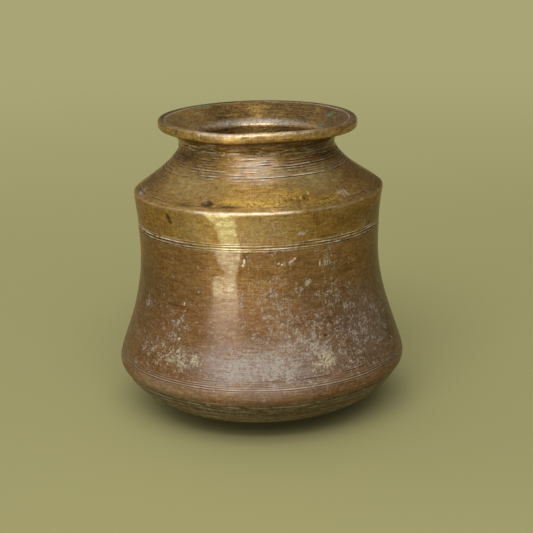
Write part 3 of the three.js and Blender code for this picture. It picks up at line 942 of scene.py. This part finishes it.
def brass(name, tones, bloom=1, relief=1, rough=(0.36, 0.36), metallic=(0.7, 0.7), coat=0.5,
          coat_rough=0.16, busy=1):
    """Aged turned brass. tones are the deep pores, the ground low and high on the pot, warm blotches,
    bright scratches and the tone of the painted highlight. rough and metallic are given low and high on the
    pot, bloom is how much lime lies on it, and busy is how strongly the fine marks show."""
    deep, ground, upper, warm, bright, highlight_tone = (colour(*tone) for tone in tones)
    material = bpy.data.materials.new(name)
    s = Shader(material)
    place = s.place()
    height = s.node("ShaderNodeSeparateXYZ", {0: place}).outputs["Z"]
    blotch = s.noise(place, (0.06, 0.06, 0.1), 4, 0.6, 0.3)
    patches = s.noise(place, (0.16, 0.16, 0.42), 4, 0.65, 0.5, (5, 1, 8))
    mottle = s.noise(place, (0.5, 0.5, 0.85), 4, 0.7, 0.6, (9, 4, 2))
    dashes = s.noise(place, (0.2, 0.2, 2.6))
    rings = s.noise(place, (0.02, 0.02, 2.6), 3, shift=(0, 0, 40))
    threads = s.noise(place, (2.1, 2.1, 0.14), 3, 0.65, shift=(31, 7, 3))
    grain = s.noise(place, (1.7, 1.7, 1.7), 4, 0.75)
    weave = s.sum(s.product(dashes, 0.75), s.product(threads, 0.25))
    rise = s.sum(height, s.product(blotch, 30))

    # The patina: where each pattern lies between two values, its tone covers what is below
    patina = s.mix(s.within(rise, 62, 84), ground, upper)
    for pattern, low, high, weight, tone in (
        (patches, 0.42, 0.66, 0.6, warm),
        (blotch, 0.5, 0.7, 0.35, deep),
        (mottle, 0.5, 0.66, 0.5 * busy, deep),
        (mottle, 0.48, 0.34, 0.3 * busy, bright),
        (weave, 0.53, 0.64, 0.7 * busy, bright),
        (weave, 0.48, 0.38, 0.75 * busy, deep),
        (grain, 0.51, 0.66, 0.7 * busy, deep),
        (grain, 0.42, 0.32, 0.6 * busy, bright),
    ):
        patina = s.mix(s.product(s.within(pattern, low, high), weight), patina, tone)
    dust = s.noise(place, (1.15, 1.15, 1.38), 2, 0.6, shift=(2.3, 9.2, 6.9))
    dust = s.product(s.within(dust, 0.65, 0.71), s.within(patches, 0.45, 0.6), 0.75)
    patina = s.mix(dust, patina, bright)
    # Tarnish, together with painted shade in the throat, under the lip, on the collar's right and on the
    # sides away from the lamps
    tarnish_and_shade = s.product(s.attribute("tarnish_and_shade"), s.within(mottle, 0.3, 0.7, 0.8, 1.1), 0.85)
    patina = s.mix(tarnish_and_shade, patina, colour(*(0.65 * part for part in tones[0])))
    # Painted highlight: the streak, the throat's gleam and the sheen, broken up by the fine texture
    highlight_breakup = s.within(s.sum(weave, s.product(mottle, 0.5)), 0.64, 0.84, 1, 0.3)
    painted_highlight = s.product(s.attribute("painted_highlight"), highlight_breakup)
    patina = s.mix(s.product(painted_highlight, 0.9), patina, highlight_tone)

    # Lime in grains and threads, a haze round it, and the grey veil of lime film and painted sheen
    crust = s.noise(place, (0.95, 0.95, 0.95), 5, 0.72, 0.2)
    clusters = s.noise(place, (0.24, 0.24, 0.3), 3, 0.6, shift=(3, 9, 5))
    density = s.attribute("lime")
    value = s.sum(crust, s.product(clusters, 0.6), s.product(density, 0.2))
    value = s.sum(value, s.product(s.sum(threads, -0.5), 0.3))
    speckle = s.noise(place, (2.3, 2.3, 2.3), 3, 0.8, 0.4)
    off_middle = s.sum(s.noise(place, (0.8, 0.8, 0.8), 2, 0.6, 1.2), -0.5)
    worms = s.within(s.most(off_middle, s.product(off_middle, -1)), 0.05, 0.015)
    grains = s.most(s.within(speckle, 0.44, 0.6), worms)
    lime = s.product(s.within(value, 0.92, 1.03), s.within(grains, 0, 1, 0.12, 1), bloom)
    haze = s.product(s.within(value, 0.8, 1.02), density, 0.35 * bloom)
    lines = s.noise(place, (0.12, 0.12, 4), 2, 0.6, shift=(3, 0, 11))
    veil_and_sheen = s.within(s.sum(lines, s.product(crust, 0.5), s.product(worms, 0.2)), 0.56, 0.88)
    veil_and_sheen = s.product(s.attribute("veil_and_sheen"), bloom, veil_and_sheen)
    patina = s.mix(s.product(veil_and_sheen, 0.85), patina, VEIL_AND_SHEEN_GREY)
    patina = s.mix(haze, patina, HAZE_BROWN)
    patina = s.mix(lime, patina, s.mix(s.attribute("cream"), LIME_GREY, LIME_CREAM))

    # Marks, edges and grooves
    patina = s.mix(s.within(s.attribute("flecks"), 0.1, 0.7), patina, FLECK_WHITE)
    chips = s.product(s.attribute("specks"), s.within(s.sum(crust, s.product(grain, 0.5)), 0.7, 0.79))
    patina = s.mix(chips, patina, SPECK_GOLD)
    stain = s.within(s.sum(s.attribute("dark"), s.product(s.sum(grain, -0.5), 0.8)), 0.15, 0.75)
    patina = s.mix(s.product(stain, 0.85), patina, STAIN_BROWN)
    patina = s.mix(s.product(s.attribute("worn"), 0.4), patina, bright)
    patina = s.mix(s.product(s.attribute("groove"), 0.85), patina, GROOVE_BROWN)
    # Pale burrs along the rings, partly a painted highlight, with painted glints on the carination and the
    # lip's edge
    burr = s.attribute("burr")
    patina = s.mix(s.product(burr, s.within(grain, 0.35, 0.55, 0.4, 1)), patina, PALE_BURR_AND_GLINT)
    green = s.within(s.sum(s.attribute("green"), s.product(s.sum(crust, -0.5), 1.2)), 0.3, 0.6)
    patina = s.mix(s.product(green, 0.8), patina, VERDIGRIS_GREEN)

    # Gloss and relief
    dull = s.most(lime, green, s.product(stain, 0.6))
    roughness = s.sum(s.within(rise, 56, 82, *rough), s.within(blotch, 0.3, 0.7, -0.04, 0.06))
    roughness = s.sum(roughness, s.product(dull, 0.25), s.product(veil_and_sheen, 0.08), s.product(painted_highlight, -0.07))
    metal = s.product(s.within(rise, 56, 82, *metallic), s.within(dull, 0, 1, 1, 0.15))
    metal = s.product(metal, s.within(s.most(veil_and_sheen, burr), 0, 1, 1, 0.3))
    normal = s.bump(s.sum(s.product(rings, 0.6), s.product(dashes, 0.4)), 0.09 * relief)
    normal = s.bump(threads, 0.03 * relief, normal)
    normal = s.bump(s.sum(grain, s.product(dull, 0.5)), 0.06 * relief, normal)
    gloss = s.bump(s.sum(s.product(rings, 0.5), s.product(dashes, 0.5)), 0.07 * relief)
    tangent = s.node("ShaderNodeTangent", {}, direction_type="RADIAL", axis="Z").outputs["Tangent"]
    s.finish(s.node("ShaderNodeBsdfPrincipled", {
        "Base Color": patina, "Roughness": roughness, "Metallic": metal, "Normal": normal,
        "Tangent": tangent, "Anisotropic": 0.85, "Anisotropic Rotation": 0.25, "Coat Weight": coat,
        "Coat Roughness": coat_rough, "Coat Normal": gloss, "Specular Tint": SPECULAR_GOLD,
    }))
    return material


# The stage and the lights

def add_floor():
    """Paper. Far from the pot it is seen in its own colour, however little light reaches it there."""
    size = 20.0
    corners = [(-size, -size, 0), (size, -size, 0), (size, size, 0), (-size, size, 0)]
    mesh = bpy.data.meshes.new("floor")
    mesh.from_pydata(corners, [], [(0, 1, 2, 3)])
    floor = bpy.data.objects.new("floor", mesh)
    bpy.context.scene.collection.objects.link(floor)
    material = bpy.data.materials.new("floor")
    s = Shader(material)
    place = s.place()
    along = s.node("ShaderNodeSeparateXYZ", {0: place}).outputs["Y"]
    away = s.node("ShaderNodeVectorMath", {0: place}, operation="LENGTH").outputs["Value"]
    paper = s.mix(s.within(along, -100, 900), PAPER_NEAR, PAPER_FAR)
    matt = {"Base Color": paper, "Roughness": 0.9, "Specular IOR Level": 0.2}
    lit = s.node("ShaderNodeBsdfPrincipled", matt)
    glow = s.node("ShaderNodeEmission", {"Color": PAPER_SEEN, "Strength": 1})
    rays = s.node("ShaderNodeLightPath", {}).outputs
    seen = s.most(rays["Is Camera Ray"], rays["Is Glossy Ray"], rays["Is Transmission Ray"])
    far = s.product(seen, s.within(away, 300, 1100))
    s.finish(s.node("ShaderNodeMixShader", {0: far, 1: lit.outputs[0], 2: glow.outputs[0]}))
    floor.data.materials.append(material)


def add_softbox(name, azimuth, elevation, distance, width, height, radiance):
    """A softbox that faces the pot. Azimuth 0 is in front of it, and 90 to its right."""
    data = bpy.data.lights.new(name, "AREA")
    data.shape, data.size, data.size_y = "RECTANGLE", width, height
    data.energy = radiance * math.pi * width * height
    lamp = bpy.data.objects.new(name, data)
    turn, rise = math.radians(azimuth), math.radians(elevation)
    way = Vector(standing(math.cos(rise), turn, math.sin(rise)))
    lamp.location = Vector((0, 0, LAMP_TARGET * MM)) + way * distance
    lamp.rotation_euler = (-way).to_track_quat("-Z", "Y").to_euler()
    lamp.visible_camera = False
    bpy.context.scene.collection.objects.link(lamp)


def add_world():
    """Dimmer near the horizon and to the right, brighter overhead."""
    world = bpy.data.worlds.new("studio")
    s = Shader(world, "ShaderNodeOutputWorld")
    coordinates = s.node("ShaderNodeTexCoord", {}).outputs["Generated"]
    way = s.node("ShaderNodeSeparateXYZ", {0: coordinates}).outputs
    overhead = s.within(way["Z"], 0.05, 0.8, 0.12, 0.4)
    strength = s.product(overhead, s.within(way["X"], -0.9, 0.9, 1.25, 0.42))
    s.finish(s.node("ShaderNodeBackground", {"Color": SKY_COLOUR, "Strength": strength}))
    bpy.context.scene.world = world


add_camera()
bpy.context.scene.view_settings.view_transform = "Standard"
YELLOW = brass("yellow_brass", (
    (84, 58, 26), (182, 141, 68), (182, 141, 68), (156, 110, 48), (236, 204, 134), (255, 240, 176),
), bloom=0.9, coat=0.3, busy=0.75)
RED = brass("red_brass", (
    (60, 42, 25), (134, 95, 55), (162, 120, 65), (122, 80, 43), (214, 184, 142), (234, 214, 182),
), rough=(0.56, 0.36), metallic=(0.35, 0.65), coat=0.35, coat_rough=0.18, busy=0.55)
DARK = brass("dark_brass", (
    (34, 27, 17), (108, 87, 55), (108, 87, 55), (94, 72, 42), (188, 168, 122), (176, 156, 112),
), bloom=0.3, rough=(0.5, 0.5), metallic=(0.4, 0.4), coat=0.3, coat_rough=0.2, busy=1.3)
RIM = brass("rim_brass", (
    (68, 49, 28), (176, 134, 64), (176, 134, 64), (150, 108, 50), (240, 208, 138), (232, 228, 224),
), bloom=0.1, relief=0.4, metallic=(0.65, 0.65), coat=0.4, coat_rough=0.14)
SPELTER = brass("spelter", (
    (70, 54, 36), (190, 166, 134), (190, 166, 134), (150, 124, 92), (236, 220, 196), (236, 220, 196),
), bloom=0.4, relief=2)
for piece, material in (
    (base_dish(), DARK),
    (braze_ring("base_seam", "base_braze", BODY_EDGE - LAP_SKIN, DISH_EDGE - 0.25), SPELTER),
    (body_wall(), RED),
    (braze_ring("waist_seam", "waist_braze", WAIST_SEAM_RADIUS - LAP_SKIN, WAIST_SEAM_RADIUS - 0.05,
                swell=0.05, rough=0.03, step=0.1), SPELTER),
    (shoulder(), YELLOW),
    (braze_ring("neck_seam", "neck_braze", NECK_SOCKET, NECK_RADIUS, swell=0.15, rough=0.14), SPELTER),
    (rim(), RIM),
):
    piece.data.materials.append(material)
add_floor()
add_world()
add_softbox("low window", -32, 5, 1, 0.45, 0.24, 5.7)
add_softbox("overhead", -4, 48, 1.6, 1.6, 1.1, 3.05)
add_softbox("strip", -6, 42, 1.6, 0.9, 0.12, 12.5)
